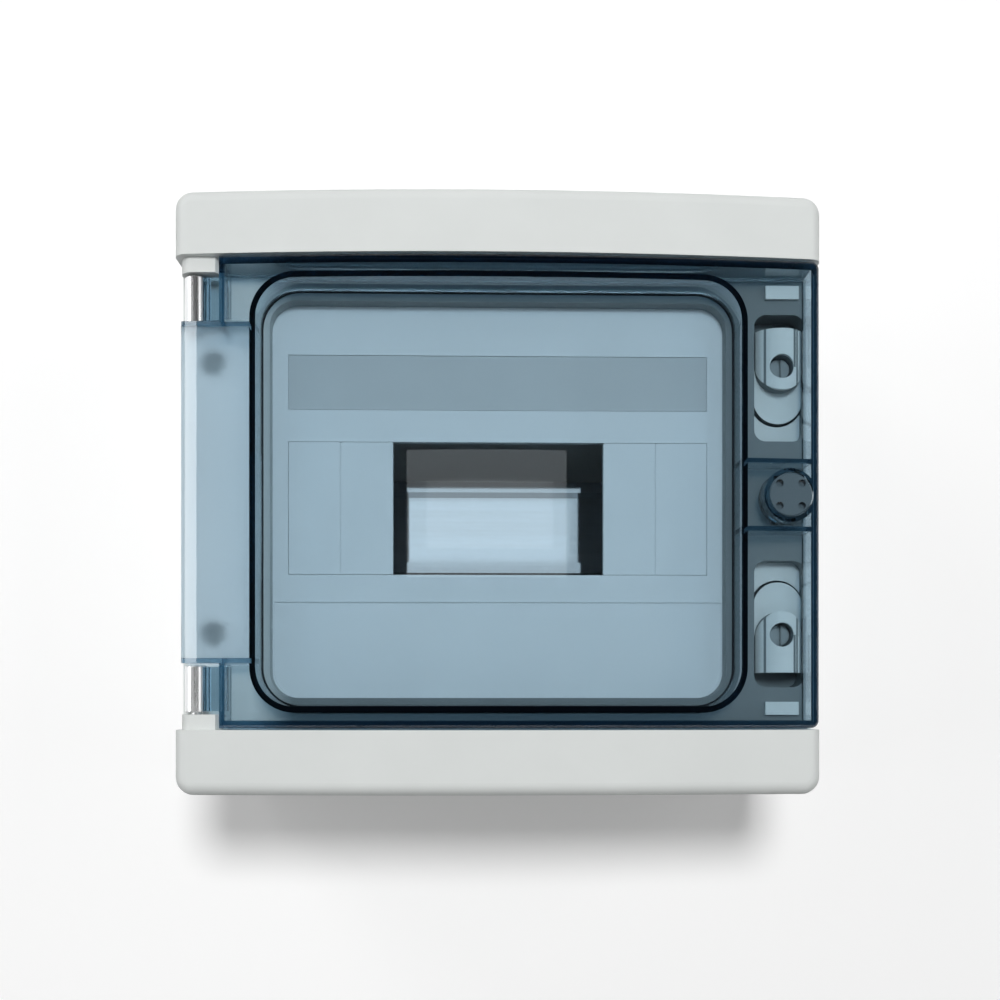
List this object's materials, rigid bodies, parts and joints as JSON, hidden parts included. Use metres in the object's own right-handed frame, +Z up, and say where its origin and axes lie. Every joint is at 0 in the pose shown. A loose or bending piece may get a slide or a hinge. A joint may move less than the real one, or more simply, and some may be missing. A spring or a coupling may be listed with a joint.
{
  "type": "dc combiner box",
  "caption": "Wall-mounted DC combiner enclosure: light grey base and cover, smoke-tinted hinged door, device plate over a DIN rail and two terminal bars.",
  "frame": {"origin": "centre of the back face, which lies on the wall", "axes": "+Z up, +X to the right seen from the front, the front faces -Y"},
  "size_m": [0.215, 0.105, 0.2],
  "materials": {
    "light_grey_abs": "fine textured light grey ABS",
    "smoke_polycarbonate": "clear polycarbonate with a blue-grey smoke tint",
    "zinc_plated_steel": "bright zinc plate",
    "brass": "machined",
    "epdm_rubber": "matt black",
    "stainless_steel": "polished",
    "grey_polycarbonate": "satin grey",
    "label_carrier": "blank, unprinted",
    "terminal_holder_plastic": "blue moulded"
  },
  "bodies": {
    "base": {"base_box": "light_grey_abs", "cover_gasket": "epdm_rubber", "din_rail": "zinc_plated_steel", "rail_screws": "zinc_plated_steel", "terminal_holder_upper": "terminal_holder_plastic", "terminal_holder_lower": "terminal_holder_plastic", "terminal_bar_upper": "brass", "terminal_bar_lower": "brass", "terminal_screws_upper": "zinc_plated_steel", "terminal_screws_lower": "zinc_plated_steel"},
    "cover": {"front_cover": "light_grey_abs", "door_gasket": "epdm_rubber", "device_plate": "light_grey_abs", "blank_strip_left": "light_grey_abs", "blank_strip_right": "light_grey_abs", "label_strip": "label_carrier", "plate_screws": "zinc_plated_steel", "hinge_pin_upper": "stainless_steel", "hinge_pin_lower": "stainless_steel", "screw_o_ring_upper_left": "epdm_rubber", "screw_o_ring_upper_right": "epdm_rubber", "screw_o_ring_lower_left": "epdm_rubber", "screw_o_ring_lower_right": "epdm_rubber"},
    "door": {"door_shell": "smoke_polycarbonate", "hinge_sleeve_upper": "stainless_steel", "hinge_sleeve_lower": "stainless_steel", "latch_o_ring": "epdm_rubber"},
    "latch": {"latch_knob": "grey_polycarbonate", "latch_cam": "zinc_plated_steel", "latch_screw": "zinc_plated_steel"},
    "screw_upper_left": {"cover_screw_upper_left": "grey_polycarbonate"},
    "screw_upper_right": {"cover_screw_upper_right": "grey_polycarbonate"},
    "screw_lower_left": {"cover_screw_lower_left": "grey_polycarbonate"},
    "screw_lower_right": {"cover_screw_lower_right": "grey_polycarbonate"}
  },
  "joints": [
    {"name": "cover_lift", "type": "slide", "parent": "base", "child": "cover", "axis": [0, -1, 0], "range_m": [0, 0.08]},
    {"name": "door_hinge", "type": "hinge", "parent": "cover", "child": "door", "pos_m": [-0.1014, -0.0935, 0], "axis": [0, 0, -1], "range_deg": [0, 120]},
    {"name": "latch_turn", "type": "hinge", "parent": "door", "child": "latch", "pos_m": [0.097, -0.095, 0], "axis": [0, -1, 0], "range_deg": [0, 90]},
    {"name": "screw_upper_left_turn", "type": "hinge", "parent": "cover", "child": "screw_upper_left", "pos_m": [-0.097, -0.08, 0.046], "axis": [0, -1, 0], "range_deg": [0, 90]},
    {"name": "screw_upper_right_turn", "type": "hinge", "parent": "cover", "child": "screw_upper_right", "pos_m": [0.097, -0.08, 0.046], "axis": [0, -1, 0], "range_deg": [0, 90]},
    {"name": "screw_lower_left_turn", "type": "hinge", "parent": "cover", "child": "screw_lower_left", "pos_m": [-0.097, -0.08, -0.046], "axis": [0, -1, 0], "range_deg": [0, 90]},
    {"name": "screw_lower_right_turn", "type": "hinge", "parent": "cover", "child": "screw_lower_right", "pos_m": [0.097, -0.08, -0.046], "axis": [0, -1, 0], "range_deg": [0, 90]}
  ]
}
